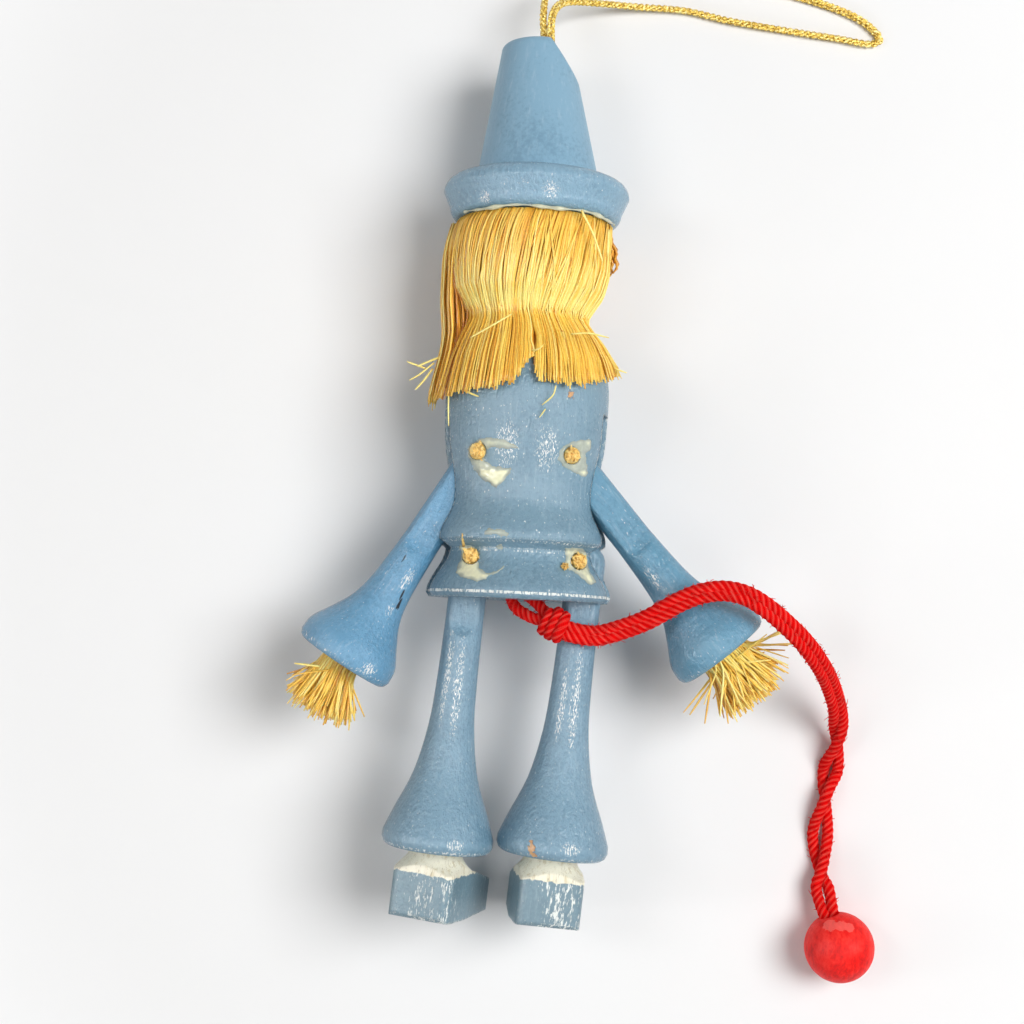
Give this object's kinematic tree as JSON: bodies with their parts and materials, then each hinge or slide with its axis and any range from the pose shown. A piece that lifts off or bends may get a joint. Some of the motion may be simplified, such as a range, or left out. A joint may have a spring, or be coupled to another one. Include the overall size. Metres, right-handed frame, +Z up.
{
  "type": "pull string jumping jack",
  "caption": "Turned wooden jumping jack with straw hair, swinging arms and legs on pegs, a pull cord with a ball and a hanging loop",
  "frame": {"origin": "Under the middle of the doll where it lies face down: the centre of the footprint of all pieces but the free cords, on the surface it rests on", "axes": "X across the doll, to the right in a view of its back; Y towards the hat; Z up out of the back"},
  "size_m": [0.1019, 0.1803, 0.0318],
  "materials": {
    "hat_paint": "satin light blue paint on turned wood, worn at the edges",
    "coat_paint": "satin grey-blue paint on turned wood, hem edge worn white",
    "limb_paint": "satin blue paint on turned wood with chips and white flecks",
    "shoe_paint": "blue shoe with worn streaks under a cream sock",
    "face_paint": "pale matte paint",
    "nose_paint": "matte red paint",
    "bare_wood": "bare dowel with broken ends",
    "straw": "dry golden plant fibre",
    "hot_glue": "milky translucent glue",
    "thin_string": "plain cotton string",
    "red_cord": "twisted bright red cord",
    "ball_paint": "matte brushed red paint",
    "gold_cord": "braided metallic gold thread"
  },
  "bodies": {
    "doll": {"hat_crown": "hat_paint", "hat_brim": "hat_paint", "hat_glue": "hot_glue", "head": "face_paint", "nose": "nose_paint", "neck_dowel": "bare_wood", "back_hair": "straw", "side_lock": "straw", "fringe": "straw", "coat_body": "coat_paint", "left_arm_peg": "bare_wood", "right_arm_peg": "bare_wood", "left_leg_peg": "bare_wood", "right_leg_peg": "bare_wood", "peg_glue": "hot_glue", "hanging_loop": "gold_cord"},
    "left_arm_body": {"left_arm": "limb_paint", "left_hand": "straw"},
    "right_arm_body": {"right_arm": "limb_paint", "right_hand": "straw"},
    "left_leg_body": {"left_leg": "limb_paint", "left_foot": "shoe_paint"},
    "right_leg_body": {"right_leg": "limb_paint", "right_foot": "shoe_paint"},
    "pull_body": {"arm_string": "thin_string", "leg_string": "thin_string", "centre_string": "thin_string", "pull_cord": "red_cord", "pull_knot": "red_cord", "pull_ball": "ball_paint"}
  },
  "joints": [
    {"name": "left_arm_swing", "type": "hinge", "parent": "doll", "child": "left_arm_body", "pos_m": [-0.0109, 0.0028, 0.0184], "axis": [0, 0, -1], "range_deg": [0, 62]},
    {"name": "right_arm_swing", "type": "hinge", "parent": "doll", "child": "right_arm_body", "pos_m": [0.0045, 0.0028, 0.0184], "axis": [0, 0, 1], "range_deg": [0, 52]},
    {"name": "left_leg_swing", "type": "hinge", "parent": "doll", "child": "left_leg_body", "pos_m": [-0.0112, -0.0144, 0.0184], "axis": [0, 0, -1], "range_deg": [0, 32]},
    {"name": "right_leg_swing", "type": "hinge", "parent": "doll", "child": "right_leg_body", "pos_m": [0.0065, -0.0144, 0.0184], "axis": [0, 0, 1], "range_deg": [0, 32]},
    {"name": "pull_slide", "type": "slide", "parent": "doll", "child": "pull_body", "axis": [0, -1, 0], "range_m": [0, 0.0051], "deforming": ["arm_string", "leg_string"]}
  ],
  "couplings": [
    {"joint": "right_arm_swing", "follows": "left_arm_swing", "ratio": 0.8387},
    {"joint": "left_leg_swing", "follows": "left_arm_swing", "ratio": 0.5161},
    {"joint": "right_leg_swing", "follows": "left_arm_swing", "ratio": 0.5161},
    {"joint": "pull_slide", "follows": "left_arm_swing", "m_per_rad": 0.00462}
  ]
}
